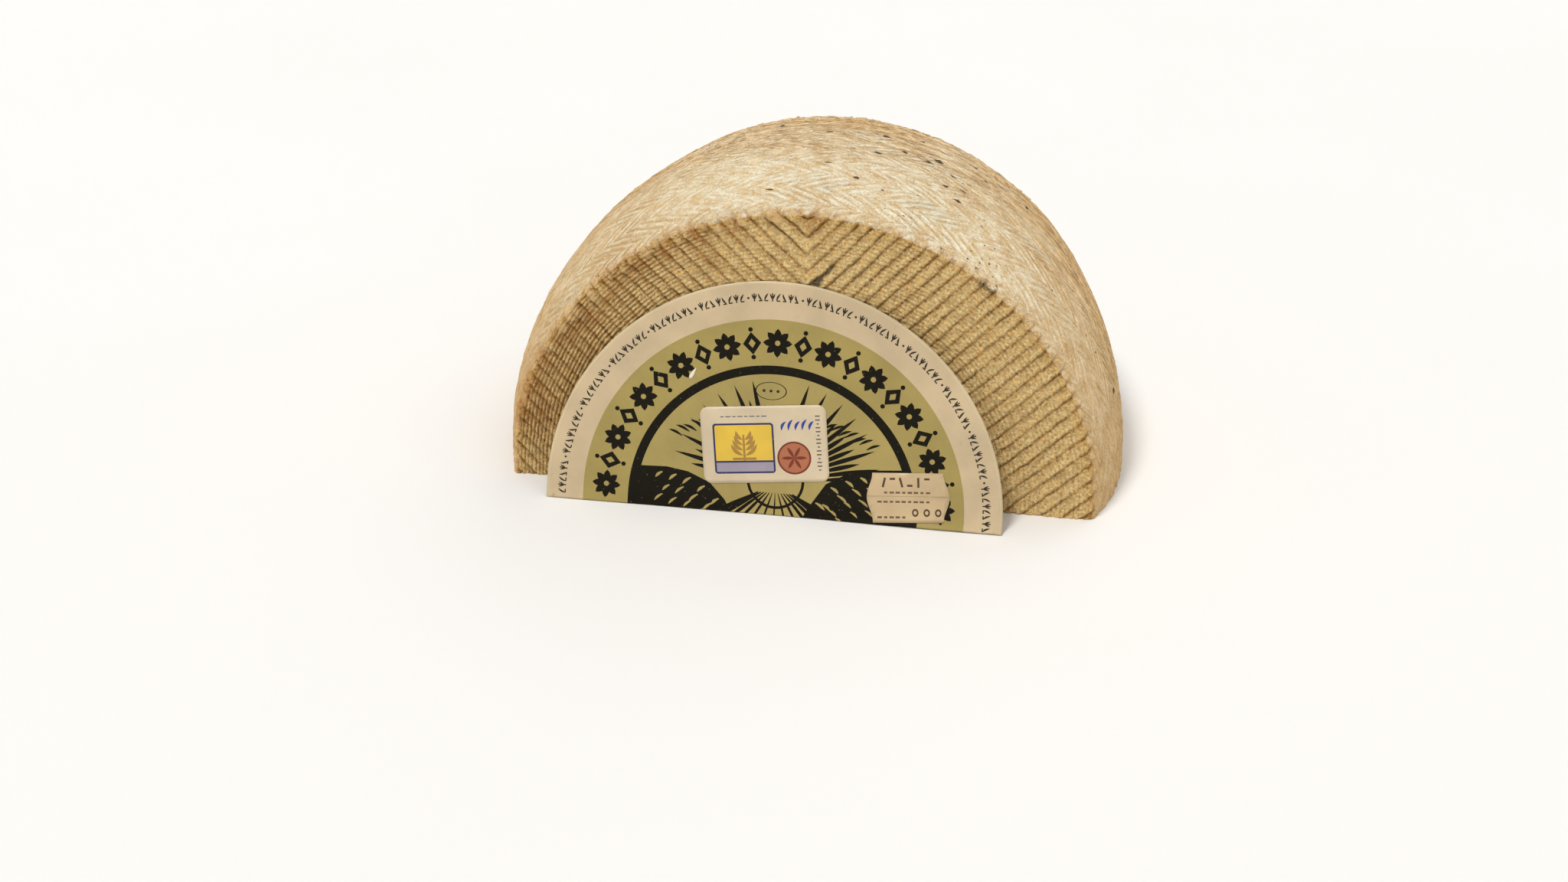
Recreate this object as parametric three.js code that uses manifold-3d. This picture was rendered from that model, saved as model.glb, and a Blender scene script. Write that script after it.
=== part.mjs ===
// Half a wheel of pressed sheep's-milk cheese, standing on its cut face, with a round
// paper label on one flat face and two small stickers on the label.
// Millimetres, +Z up. The origin is the middle of the cut face, the wheel's own axis runs
// along Y, and the labelled face looks towards -Y.

import * as THREE from "three";
import * as BufferGeometryUtils from "three/addons/utils/BufferGeometryUtils.js";
import Module from "manifold-3d";

// The wheel
const THICKNESS = 102;
const FACE_RADIUS = 94;
const BULGE_RADIUS = 102.4; // where the pressed side bulges most
const BULGE_AT = 0.4; // share of the thickness, from the labelled face
const AXIS_ABOVE_CUT = 2; // the knife passed this far below the wheel's axis
const RIM_BEVEL = 1.2;
const LATHE_STEPS = 72; // round the whole wheel

// The plaited band pressed into the side: zigzag rows that each swell a little
const PLAIT_ROWS = 12;
const PLAIT_SWELL = 0.5;
const STEPS_PER_ROW = 4;

// The V-shaped ridges pressed into both flat faces, at 45 degrees to the middle line
const RIDGE_PITCH = 3.85;
const GROOVE_DEPTH = 0.8;
const GROOVE_WIDTH = 2.2;

// The round paper label, cut with the cheese and leaning away from it towards its foot
const PAPER = 0.4;
const LABEL_RADIUS = 73;
const LABEL_CENTRE_X = -6.9;
const LABEL_CENTRE_UP = 2; // from the label's foot, along the paper
const LABEL_TOP_GAP = 0.4; // between the top of the label and the cheese
const LABEL_FOOT_GAP = 13.6; // between the foot of the label and the cheese
const FOOT_CLEARANCE = 0.1; // the paper's foot above the cut face's plane
const LABEL_ARC_STEPS = 64;

// The stickers on the label: size, middle measured along the paper, and turn in degrees
const STICKER_GAP = 0.3; // between the label and each sticker
const STICKER_ARC_STEPS = 6;
const QUALITY_STICKER = { width: 40, height: 25, corner: 2.6, x: -9.8, up: 22.7, turn: 5.5 };
const DATE_STICKER = { width: 26, height: 16, wave: 1.9, x: 36.2, up: 9.1, turn: 4.1 };

const COLOURS = {
  rind: 0xc6a772,
  label: 0xb9ad74,
  qualitySticker: 0xe9e4d6,
  dateSticker: 0xd9c9a6,
};

const wasm = await Module();
wasm.setup();

function material(colour, roughness) {
  return new THREE.MeshStandardMaterial({ color: colour, roughness, metalness: 0 });
}

// A closed mesh as a solid that can be cut or joined.
function solid(geometry) {
  const bare = geometry.clone();
  bare.deleteAttribute("normal");
  bare.deleteAttribute("uv");
  const merged = BufferGeometryUtils.mergeVertices(bare, 1e-4);
  return new wasm.Manifold(new wasm.Mesh({
    numProp: 3,
    vertProperties: new Float32Array(merged.attributes.position.array),
    triVerts: new Uint32Array(merged.index.array),
  }));
}

function geometryOf(body) {
  const mesh = body.getMesh();
  const geometry = new THREE.BufferGeometry();
  geometry.setAttribute("position", new THREE.BufferAttribute(mesh.vertProperties, 3));
  geometry.setIndex(new THREE.BufferAttribute(mesh.triVerts, 1));
  geometry.computeVertexNormals();
  return geometry;
}

// The side's radius at a share of the thickness: a bulge that falls off as a parabola to
// both rims, with one small swelling for each row of the plait.
function sideRadius(share) {
  const fall = share < BULGE_AT ? (BULGE_AT - share) / BULGE_AT : (share - BULGE_AT) / (1 - BULGE_AT);
  const bulge = (BULGE_RADIUS - FACE_RADIUS) * (1 - fall ** 2);
  const swell = PLAIT_SWELL * (Math.abs(Math.sin(Math.PI * PLAIT_ROWS * share)) - 0.5);
  return FACE_RADIUS + bulge + swell;
}

// The whole wheel about Y, its two faces THICKNESS apart and its axis at the origin.
function wheelSolid() {
  const half = THICKNESS / 2;
  const profile = [new THREE.Vector2(0, -half), new THREE.Vector2(FACE_RADIUS - RIM_BEVEL, -half)];
  const steps = PLAIT_ROWS * STEPS_PER_ROW;
  const inset = RIM_BEVEL / THICKNESS;
  for (let i = 0; i <= steps; i += 1) {
    const share = inset + (1 - 2 * inset) * (i / steps);
    profile.push(new THREE.Vector2(sideRadius(share), (share - 0.5) * THICKNESS));
  }
  profile.push(new THREE.Vector2(FACE_RADIUS - RIM_BEVEL, half), new THREE.Vector2(0, half));
  return solid(new THREE.LatheGeometry(profile, LATHE_STEPS));
}

// One V-shaped groove: a three-sided bar that comes down the left at 45 degrees to its
// point on the middle line and goes up the right. side is -1 on the labelled face.
function grooveSolid(pointZ, side) {
  const reach = BULGE_RADIUS + RIDGE_PITCH;
  const face = (side * THICKNESS) / 2;
  const proud = face + side * GROOVE_DEPTH;
  const deep = face - side * GROOVE_DEPTH;
  const halfHeight = GROOVE_WIDTH * Math.SQRT2; // the bar starts proud, twice as wide as its cut
  const stations = [-reach, 0, reach];
  const positions = [];
  for (const x of stations) {
    const z = pointZ + Math.abs(x);
    positions.push(x, proud, z - halfHeight, x, proud, z + halfHeight, x, deep, z);
  }
  const faces = [];
  for (let station = 0; station < stations.length - 1; station += 1) {
    for (let edge = 0; edge < 3; edge += 1) {
      const a = station * 3 + edge;
      const b = station * 3 + ((edge + 1) % 3);
      faces.push(a, b, b + 3, a, b + 3, a + 3);
    }
  }
  const last = (stations.length - 1) * 3;
  faces.push(0, 2, 1, last, last + 1, last + 2);
  if (side < 0) {
    faces.reverse();
  }
  const geometry = new THREE.BufferGeometry();
  geometry.setAttribute("position", new THREE.Float32BufferAttribute(positions, 3));
  geometry.setIndex(faces);
  return solid(geometry);
}

function cheeseGeometry() {
  let cheese = wheelSolid();
  const rise = RIDGE_PITCH * Math.SQRT2; // from one V's point to the next
  const first = -Math.ceil((FACE_RADIUS + AXIS_ABOVE_CUT) / rise);
  for (const side of [-1, 1]) {
    for (let i = first; i * rise < FACE_RADIUS; i += 1) {
      cheese = cheese.subtract(grooveSolid(i * rise, side));
    }
  }
  const below = new THREE.BoxGeometry(3 * BULGE_RADIUS, 3 * THICKNESS, 2 * BULGE_RADIUS);
  below.translate(0, 0, -BULGE_RADIUS - AXIS_ABOVE_CUT);
  return geometryOf(cheese.subtract(solid(below)).translate([0, 0, AXIS_ABOVE_CUT]));
}

// A flat piece of paper, drawn with X across and Y up from the label's foot.
function paperGeometry(shape, arcSteps) {
  return new THREE.ExtrudeGeometry(shape, {
    depth: PAPER,
    bevelEnabled: false,
    curveSegments: arcSteps,
  });
}

function labelShape() {
  const foot = Math.asin(-LABEL_CENTRE_UP / LABEL_RADIUS);
  const shape = new THREE.Shape();
  shape.absarc(LABEL_CENTRE_X, LABEL_CENTRE_UP, LABEL_RADIUS, foot, Math.PI - foot);
  shape.closePath();
  return shape;
}

function roundedRectangle({ width, height, corner }) {
  const right = width / 2 - corner;
  const top = height / 2 - corner;
  const shape = new THREE.Shape();
  shape.absarc(right, top, corner, 0, Math.PI / 2);
  shape.absarc(-right, top, corner, Math.PI / 2, Math.PI);
  shape.absarc(-right, -top, corner, Math.PI, 1.5 * Math.PI);
  shape.absarc(right, -top, corner, 1.5 * Math.PI, 2 * Math.PI);
  shape.closePath();
  return shape;
}

// A price-gun sticker: straight at the top and foot, each side swelling out once.
function wavySided({ width, height, wave }) {
  const steps = 16;
  const right = [];
  for (let i = 0; i <= steps; i += 1) {
    const up = i / steps;
    const out = width / 2 - wave * (0.5 + 0.5 * Math.cos(2 * Math.PI * up));
    right.push(new THREE.Vector2(out, (up - 0.5) * height));
  }
  const left = right.map((point) => new THREE.Vector2(-point.x, point.y)).reverse();
  return new THREE.Shape([...right, ...left]);
}

const object = new THREE.Group();
object.name = "half_cheese_wheel";

const cheese = new THREE.Mesh(cheeseGeometry(), material(COLOURS.rind, 0.85));
cheese.name = "cheese_half_wheel";
object.add(cheese);

// The label's plane: it leans forward from its top, next to the cheese, down to its foot.
const labelHeight = LABEL_RADIUS + LABEL_CENTRE_UP;
const lean = Math.asin((LABEL_FOOT_GAP - LABEL_TOP_GAP) / labelHeight);
const labelPlane = new THREE.Group();
labelPlane.position.set(0, -THICKNESS / 2 - LABEL_FOOT_GAP, FOOT_CLEARANCE);
labelPlane.rotation.x = Math.PI / 2 - lean;
object.add(labelPlane);

const label = new THREE.Mesh(paperGeometry(labelShape(), LABEL_ARC_STEPS), material(COLOURS.label, 0.45));
label.name = "round_label";
labelPlane.add(label);

function addSticker(name, shape, place, colour) {
  const sticker = new THREE.Mesh(paperGeometry(shape, STICKER_ARC_STEPS), material(colour, 0.5));
  sticker.name = name;
  sticker.position.set(place.x, place.up, PAPER + STICKER_GAP);
  sticker.rotation.z = THREE.MathUtils.degToRad(place.turn);
  labelPlane.add(sticker);
}

addSticker("quality_sticker", roundedRectangle(QUALITY_STICKER), QUALITY_STICKER, COLOURS.qualitySticker);
addSticker("date_sticker", wavySided(DATE_STICKER), DATE_STICKER, COLOURS.dateSticker);

export default object;
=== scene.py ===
"""Half a wheel of pressed sheep's-milk cheese, standing on its cut face, with its round label.

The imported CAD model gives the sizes. Lengths here are in millimetres, and add_mesh() turns
them into metres. X runs right along the cut, Y away from the labelled face, Z up from the cut.
"""

import itertools
import math

import bpy
import numpy as np
from mathutils import Matrix, Vector
from mathutils.geometry import delaunay_2d_cdt


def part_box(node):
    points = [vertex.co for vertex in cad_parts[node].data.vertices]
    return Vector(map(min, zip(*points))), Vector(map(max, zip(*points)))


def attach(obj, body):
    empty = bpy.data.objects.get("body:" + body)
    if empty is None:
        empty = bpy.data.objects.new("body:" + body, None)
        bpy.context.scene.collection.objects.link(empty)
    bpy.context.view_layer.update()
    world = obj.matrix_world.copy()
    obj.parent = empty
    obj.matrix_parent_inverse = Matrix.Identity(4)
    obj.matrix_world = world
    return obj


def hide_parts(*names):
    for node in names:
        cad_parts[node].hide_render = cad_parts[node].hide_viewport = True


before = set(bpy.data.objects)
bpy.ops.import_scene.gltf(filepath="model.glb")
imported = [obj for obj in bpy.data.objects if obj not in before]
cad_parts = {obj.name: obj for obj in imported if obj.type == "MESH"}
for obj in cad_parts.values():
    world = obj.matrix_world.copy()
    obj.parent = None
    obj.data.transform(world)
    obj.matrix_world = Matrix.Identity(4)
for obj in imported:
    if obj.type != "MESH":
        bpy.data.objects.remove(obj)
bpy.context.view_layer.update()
MM = 0.001


def box_mm(node):
    """A CAD node's lowest and highest corner in millimetres."""
    low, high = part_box(node)
    return np.array(low) / MM, np.array(high) / MM


# --- Sizes -----------------------------------------------------------------------------------

CHEESE_LOW, CHEESE_HIGH = box_mm("cheese_half_wheel")
THICKNESS = CHEESE_HIGH[1] - CHEESE_LOW[1]
FRONT = CHEESE_LOW[1]  # the labelled face
BULGE_RADIUS = (CHEESE_HIGH[0] - CHEESE_LOW[0]) / 2 - 0.25  # the CAD's rows of plait stand 0.25 out
AXIS_HEIGHT = 2.0  # the wheel's axis above the cut
FACE_RADIUS = 94.0
BULGE_AT = 0.4  # share of the thickness, from the labelled face
RIM_ROUND = 1.3  # radius of the rounded rim
RIM_WIDTH = 2.6  # how far from the rim its crumbs and colour reach
RIM_NOTCH = 1.9  # depth of the notches that the ridges leave in the side's edge
LUMP_HEIGHT = 1.1

RIDGE_PITCH = 3.91
RIDGE_DEPTH = 0.95
V_MIDDLE_X = 1.0
V_LOWER = 2.4  # how far below the wheel's axis one V has its point
RIDGE_RISE = 0.2  # share of a ridge where it rises from its groove
RIDGE_FALL = 0.45  # how much it falls again towards the next groove
RIB_PITCH = 1.325
RIB_DEPTH = 0.65
PATTERN_SKEW = 0.0004  # per mm: ridges and ribs lie closer together on the left

ROW_PITCH = 8.2  # the plait's rows round the side
FIRST_ROW = 5.4  # the labelled face cuts the first row short
ROW_SWELL = 0.45
STRAND_PITCH = 2.5
STRAND_TURN = math.radians(28.5)
STRAND_HEIGHT = 0.38
ROW_SHIFT = 0.37  # share of a strand that each row is out of step with the last

ARC_STEP = 0.52  # mesh steps: round the wheel, along a face's radius, and across the side
FACE_STEP = 0.33
HIDDEN_STEP = 2.0  # behind the label
HIDDEN_RADIUS = 60.0
SIDE_STEP = 0.5
CUT_STEP = 0.3  # finer round the wheel next to the cut
CORNER_STEPS = 6
CHIP_DEPTH, CHIP_HEIGHT = 0.8, 0.8  # chips out of the rind next to the cut


# --- Camera ----------------------------------------------------------------------------------

CAMERA_PLACE = (82.3, -636.7, 307.9)
CAMERA_AZIMUTH = 8.489
CAMERA_ELEVATION = 25.967
CAMERA_ROLL = 0.777
LENS = 47.46  # on a sensor 36 mm wide


def add_camera():
    azimuth, elevation, roll = (math.radians(a) for a in (CAMERA_AZIMUTH, CAMERA_ELEVATION, CAMERA_ROLL))
    forward = Vector((
        -math.sin(azimuth) * math.cos(elevation),
        math.cos(azimuth) * math.cos(elevation),
        -math.sin(elevation),
    ))
    level_right = forward.cross(Vector((0, 0, 1))).normalized()
    level_up = level_right.cross(forward)
    right = math.cos(roll) * level_right + math.sin(roll) * level_up
    up = math.cos(roll) * level_up - math.sin(roll) * level_right
    data = bpy.data.cameras.new("camera")
    data.sensor_width = 36
    data.lens = LENS
    data.clip_start = 0.01
    camera = bpy.data.objects.new("camera", data)
    turn = Matrix((right, up, -forward)).transposed().to_4x4()
    camera.matrix_world = Matrix.Translation(Vector(CAMERA_PLACE) * MM) @ turn
    bpy.context.scene.collection.objects.link(camera)
    bpy.context.scene.camera = camera


# --- Noise -----------------------------------------------------------------------------------

def corner_value(cell, seed):
    """A fixed number from -1 to 1 for each corner of a grid."""
    n = cell.astype(np.int64).astype(np.uint32)
    n = n[..., 0] * np.uint32(73856093) ^ n[..., 1] * np.uint32(19349663) ^ n[..., 2] * np.uint32(83492791)
    n ^= np.uint32(seed * 7919 + 17)
    n = (n ^ (n >> np.uint32(15))) * np.uint32(2246822519)
    n = (n ^ (n >> np.uint32(13))) * np.uint32(3266489917)
    n ^= n >> np.uint32(16)
    return n.astype(float) / 2147483648 - 1


def noise(points, size, seed):
    """Smooth noise, about -1 to 1, in lumps of the given size. size may differ along each axis."""
    scaled = points / np.asarray(size, float) + 1000
    cell = np.floor(scaled)
    part = scaled - cell
    part = part ** 3 * (part * (part * 6 - 15) + 10)
    total = np.zeros(points.shape[:-1])
    for corner in itertools.product((0, 1), repeat=3):
        weight = np.prod(np.where(corner, part, 1 - part), axis=-1)
        total += weight * corner_value(cell + np.array(corner), seed)
    return total


def rough(points, size, seed):
    """Noise with smaller lumps on the larger ones."""
    return sum(noise(points, size / 2 ** k, seed + 31 * k) * 0.55 ** k for k in range(3))


def ease(value, low, high):
    """0 below low, 1 above high, and a smooth step between them."""
    t = np.clip((value - low) / (high - low), 0, 1)
    return t * t * (3 - 2 * t)


def blobs(x, z, places):
    """Sum of soft round spots, each given as x, z, radius, strength."""
    return sum(s * np.exp(-((x - px) ** 2 + (z - pz) ** 2) / r ** 2) for px, pz, r, s in places)


# --- Meshes ----------------------------------------------------------------------------------

def add_mesh(name, points, faces, materials, material_index=None, values=None, smooth=True):
    """A mesh object from points in millimetres. values are numbers per point that materials read.

    smooth is one answer for the whole mesh, or one for each face."""
    mesh = bpy.data.meshes.new(name)
    mesh.from_pydata((np.asarray(points) * MM).tolist(), [], faces)
    for material in materials:
        mesh.materials.append(material)
    if material_index is not None:
        mesh.polygons.foreach_set("material_index", np.asarray(material_index, np.int32))
    for key, value in (values or {}).items():
        attribute = mesh.attributes.new(key, "FLOAT", "POINT")
        attribute.data.foreach_set("value", np.asarray(value, np.float32))
    mesh.polygons.foreach_set("use_smooth", np.full(len(mesh.polygons), smooth))
    mesh.update()
    piece = bpy.data.objects.new(name, mesh)
    bpy.context.scene.collection.objects.link(piece)
    return piece


# --- Shape of the cheese ---------------------------------------------------------------------

def side_radius(depth):
    """The side's radius at a depth behind the labelled face, without the plait."""
    share = depth / THICKNESS
    fall = np.where(share < BULGE_AT, (BULGE_AT - share) / BULGE_AT, (share - BULGE_AT) / (1 - BULGE_AT))
    return FACE_RADIUS + (BULGE_RADIUS - FACE_RADIUS) * (1 - fall ** 2)


def reach(angle, radius):
    """Distance from the middle of the cut to the circle of that radius about the wheel's axis."""
    return AXIS_HEIGHT * np.sin(angle) + np.sqrt(radius ** 2 - (AXIS_HEIGHT * np.cos(angle)) ** 2)


def pressed(phase, power):
    """0 at whole numbers and 1 half way between, as rounded humps."""
    return np.abs(np.sin(np.pi * phase)) ** power


def face_pattern(points):
    """Place in the V ridges and in the small round ribs, both with grooves at whole numbers."""
    x = points[..., 0] + 0.25 * noise(points, 13, 1)
    z = points[..., 2] - AXIS_HEIGHT + 0.25 * noise(points, 11, 2)
    closer = 1 - PATTERN_SKEW * x
    height = z + V_LOWER - np.sqrt((x - V_MIDDLE_X) ** 2 + 0.3)
    rib = closer * (np.hypot(x, z) + 0.2 * noise(points, 5, 4)) / RIB_PITCH
    return closer ** 2 * height / (RIDGE_PITCH * math.sqrt(2)), rib


def ridge_shape(ridge):
    """Across one ridge from its groove up: a steep rise to the crest, a slow fall, the next groove."""
    part = ridge - np.floor(ridge)
    rise = np.minimum(part / RIDGE_RISE, 1)
    close = np.minimum((1 - part) / 0.08, 1)
    return rise * (1 - RIDGE_FALL * part) * close


def rib_strength(points):
    """Strongest on the far left, weakest at the top, worn here and there, none on the V's middle line."""
    x = points[..., 0]
    off_middle = ease(np.abs(x - V_MIDDLE_X), 0.8, 2.4)
    side = 0.4 + 1.0 * ease(-x, 22, 50) + 0.25 * np.exp(-((x - 30) / 16) ** 2)
    return off_middle * side * np.clip(1.0 + 0.6 * noise(points, 8, 3), 0.3, 1.4)


def face_relief(points, ridge, rib, rim):
    """Height of the pressed ridges and ribs on a flat face, with crumbs and pits."""
    filled = np.clip(0.9 + 0.5 * noise(points, 10, 8) + 0.4 * noise(points, 3, 24), 0.45, 1.3)
    depth = RIDGE_DEPTH * filled * (1 + 0.5 * rim) * (1 + 0.25 * ease(-points[..., 0], -2, 2))
    shape = ridge_shape(ridge + 0.09 * noise(points, 2.2, 18))
    ribs = rib_strength(points) * (pressed(rib + 0.1 * noise(points, 1.7, 19), 0.7) - 1)
    height = depth * (shape - 0.8) + RIB_DEPTH * ribs * shape
    height += 0.2 * noise(points, 2.4, 6) + 0.2 * noise(points, 1.2, 7) + 0.3 * noise(points, 15, 9)
    return height - 0.25 * ease(noise(points, 1.6, 10), 0.4, 0.8)


def side_pattern(points, arc, depth):
    """Place in the plait: its row, with edges at whole numbers, and the distance round the wheel."""
    shifted = depth + 0.9 * noise(points, 26, 11) + 0.2 * noise(points, 8, 12)
    return (shifted - FIRST_ROW) / ROW_PITCH, arc + 0.25 * noise(points, 6, 13)


def wear(points):
    """How much of the plait's lines is left: 1 where they are sharp, less where they are rubbed flat."""
    return np.clip(0.9 + 0.75 * noise(points, 19, 14), 0.2, 1.4)


def side_relief(points, row, arc):
    """Height of the plait: thin raised lines between channels pressed by the strands, worn in places."""
    number = np.floor(row)
    lean = 1 - 2 * (number % 2)
    across = (row * ROW_PITCH + FIRST_ROW) * math.cos(STRAND_TURN) + lean * arc * math.sin(STRAND_TURN)
    channel = pressed(across / STRAND_PITCH + ROW_SHIFT * number, 0.7)
    bump = pressed(row, 0.4)
    height = ROW_SWELL * (bump - 1) - STRAND_HEIGHT * wear(points) * channel * bump
    return height + 0.35 * noise(points, 26, 16) + 0.16 * rough(points, 3.2, 17) + 0.1


def profile():
    """Rows from the middle of the labelled face over the side to the middle of the back face.

    Each row has a radius, a depth, and the outward direction in the plane of the two."""
    flat = FACE_RADIUS - RIM_ROUND
    hidden = np.arange(0, HIDDEN_RADIUS, HIDDEN_STEP)
    seen = np.arange(HIDDEN_RADIUS, flat - FACE_STEP / 2, FACE_STEP)
    rows = [(radius, 0.0, 0.0, -1.0) for radius in (*hidden, *seen)]
    for i in range(CORNER_STEPS):
        turn = (i + 0.5) / CORNER_STEPS * math.pi / 2
        out, back = math.sin(turn), -math.cos(turn)
        rows.append((flat + RIM_ROUND * out, RIM_ROUND * (1 + back), out, back))
    edge_count = len(rows)
    side_rows = round((THICKNESS - 2 * RIM_ROUND) / SIDE_STEP)
    for i in range(side_rows + 1):
        depth = RIM_ROUND + (THICKNESS - 2 * RIM_ROUND) * i / side_rows
        rows.append((float(side_radius(np.array(depth))), depth, 1.0, 0.0))
    corner = rows[edge_count - CORNER_STEPS:edge_count]
    rows += [(r, THICKNESS - d, out, -back) for r, d, out, back in corner[::-1]]
    back_radii = np.linspace(flat, 0, edge_count - CORNER_STEPS + 1)[1:]
    rows += [(radius, THICKNESS, 0.0, 1.0) for radius in back_radii]
    return np.array(rows), edge_count


def column_angles():
    """Angles round the half wheel, closer together next to the cut."""
    arc = np.linspace(0, math.pi * BULGE_RADIUS, 4000)
    nearest = np.minimum(arc, arc[-1] - arc)
    step = ARC_STEP - (ARC_STEP - CUT_STEP) * np.exp(-nearest / 3)
    count = np.concatenate([[0], np.cumsum(np.diff(arc) / step[1:])])
    columns = round(count[-1])
    return np.interp(np.linspace(0, count[-1], columns + 1), count, arc) / BULGE_RADIUS


def rind_surface(angle, radius, depth, normal_out, normal_back):
    """Points of the rind in millimetres, and the values that its material reads."""
    flat = FACE_RADIUS - RIM_ROUND
    inner = np.minimum(radius / flat, 1) * reach(angle, flat) * (radius <= flat)
    distance = np.where(radius <= flat, inner, reach(angle, np.maximum(radius, flat)))
    base = np.stack([distance * np.cos(angle), FRONT + depth, distance * np.sin(angle)], -1)
    face = ease(normal_back ** 2, 0.1, 0.9)
    ridge, rib = face_pattern(base)
    row, arc = side_pattern(base, (math.pi - angle) * BULGE_RADIUS, depth)
    from_rim = np.minimum(depth, THICKNESS - depth) + np.maximum(FACE_RADIUS - radius, 0)
    rim = np.exp(-(from_rim / RIM_WIDTH) ** 2)
    height = face * face_relief(base, ridge, rib, rim) + (1 - face) * side_relief(base, row, arc)
    height -= (1 - face) * rim * RIM_NOTCH * (0.8 - ridge_shape(ridge))
    crumbs = noise(base, 4.5, 21) + 0.6 * noise(base, 2.2, 22) + 0.3 * noise(base, 1.2, 23)
    height += rim * (0.45 + 0.55 * ease(-base[..., 0], -5, 30)) * crumbs
    height += LUMP_HEIGHT * ease(blobs(base[..., 0], base[..., 2], LUMPS), 0.2, 0.8) * (base[..., 1] < 0)
    height = np.minimum(height, 0.3 + 1.1 * rim + 2 * (1 - face))  # stays near the CAD's size
    moved = base.copy()
    moved[..., 0] += height * normal_out * np.cos(angle)
    moved[..., 2] += height * normal_out * np.sin(angle)
    moved[..., 1] += height * normal_back
    values = {"face": face, "ridge": ridge, "rib": rib, "row": row, "arc": arc, "rim": rim}
    return moved, values | {"ribbed": rib_strength(base), "sharp": wear(base)}


STAINS = [  # x, z, radius, strength
    (-91, 22, 4, 0.6), (-87, 33, 4, 0.6), (-83, 42, 4, 0.7), (-76, 50, 4, 0.8), (-70, 56, 4, 1.0),
    (-65, 58, 3, 0.9), (-59, 70, 4, 1.1), (-62, 63, 3, 0.8), (-52, 75, 4, 1.0), (-43, 81, 4, 1.0),
    (-33, 86, 4, 1.1), (-21, 90, 4, 0.9), (3, 93, 4, 0.9), (-83, 26, 12, 0.65), (-28, 79, 3, 0.8),
    (-71, 46, 8, 0.25),
]
WAXY = [  # x, z, radius, strength
    (-76.5, 53.5, 2.2, 1.0), (-73, 58, 2.6, 1.1), (-67, 64.8, 2.1, 1.0), (-81.2, 46, 2.2, 1.0),
    (62, 62, 1.3, 0.9),
]
WAXY_EDGE = np.arange(94, 132, 3.1)  # degrees round the labelled face's edge with more waxy lumps
MOULD = [  # x, z of both ends of a streak, half its width, strength
    (4.0, 74.0, 7.6, 77.8, 1.0, 1.5), (7.8, 78.2, 10.0, 80.6, 0.6, 1.1), (54, 77.8, 59, 74.4, 0.8, 1.0),
]


def edge_lumps():
    """Waxy lumps of uneven size along the top left of the labelled face's edge."""
    draw = np.random.default_rng(4)
    for degrees in WAXY_EDGE + draw.uniform(-1.1, 1.1, len(WAXY_EDGE)):
        angle = math.radians(degrees)
        distance = FACE_RADIUS - draw.uniform(0.6, 2.6)
        x, z = distance * math.cos(angle), AXIS_HEIGHT + distance * math.sin(angle)
        yield x, z, draw.uniform(0.8, 1.5), 1.0


LUMPS = WAXY + list(edge_lumps())


def streaks(x, z, places):
    """Sum of thin soft streaks."""
    total = 0 * x
    for ax, az, bx, bz, width, strength in places:
        along = ((x - ax) * (bx - ax) + (z - az) * (bz - az)) / ((bx - ax) ** 2 + (bz - az) ** 2)
        along = np.clip(along, 0, 1)
        off = np.hypot(x - ax - along * (bx - ax), z - az - along * (bz - az))
        total += strength * np.exp(-(off / (width * (1.3 - along))) ** 2)
    return total


EYES = [  # x, y, radius, depth of each hole in the paste
    (-38, -12, 2.4, 1.6), (22, 18, 1.8, 1.2), (55, -25, 1.5, 1.0), (-8, 31, 1.9, 1.4), (-61, 22, 1.3, 0.9),
    (34, -6, 1.2, 0.8),
]


def cut_patch(rows, edge, number, skin, last):
    """The cut face: a grid whose outer line is the rind's own points.

    Gives the grid's point numbers, its new points, and how far each of them is from the rind."""
    right = np.concatenate([[0], number[:, 0], [last]])
    left = np.concatenate([[0], number[:, -1], [last]])
    stop = len(rows) - 1 - edge
    patch = np.full((stop - edge + 1, 2 * edge + 1), -1)
    patch[0] = np.concatenate([left[edge:0:-1], right[:edge + 1]])
    patch[-1] = np.concatenate([left[stop:-1], right[-1:stop - 1:-1]])
    patch[:, 0] = left[edge:stop + 1]
    patch[:, -1] = right[edge:stop + 1]

    every = np.concatenate([[[0, FRONT, 0]], skin.reshape(-1, 3), [[0, FRONT + THICKNESS, 0]]])
    depth = rows[edge:stop + 1, 1][1:-1, None] + FRONT
    first, final = rows[edge, 1] + FRONT, rows[stop, 1] + FRONT
    at_front, at_back = rows[:edge + 1, 0] / rows[edge, 0], rows[:stop - 1:-1, 0] / rows[stop, 0]
    at_front, at_back = (np.concatenate([-s[:0:-1], s])[None, 1:-1] for s in (at_front, at_back))
    share = at_front + (at_back - at_front) * ease(depth, first + 8, final - 8)
    outer = np.where(share < 0, -every[patch[1:-1, :1], 0], every[patch[1:-1, -1:], 0])
    y = depth + (every[patch[:1, 1:-1], 1] - first) * np.exp(-(depth - first) / 3)
    y = y + (every[patch[-1:, 1:-1], 1] - final) * np.exp(-(final - depth) / 3)
    inner = np.stack([share * outer, y, 0 * y], -1)
    for ex, ey, er, deep in EYES:
        off = np.hypot(inner[..., 0] - ex, (inner[..., 1] - ey) * 1.25) + 0.25 * er * noise(inner, er, 61)
        inner[..., 2] += deep * np.sqrt(np.clip(1 - (off / er) ** 2, 0, 1))
    patch[1:-1, 1:-1] = last + 1 + np.arange(inner[..., 0].size).reshape(inner.shape[:2])
    to_side = np.abs(np.abs(share) - 1) * np.abs(outer)
    to_face = np.minimum(depth - FRONT, FRONT + THICKNESS - depth)
    return patch, inner.reshape(-1, 3), np.minimum(to_side, to_face).reshape(-1)


def quads(number):
    """Four-sided faces between the rows and columns of a grid of point numbers."""
    a, b, c, d = number[:-1, :-1], number[1:, :-1], number[1:, 1:], number[:-1, 1:]
    return np.stack([a, b, c, d], -1).reshape(-1, 4)


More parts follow.
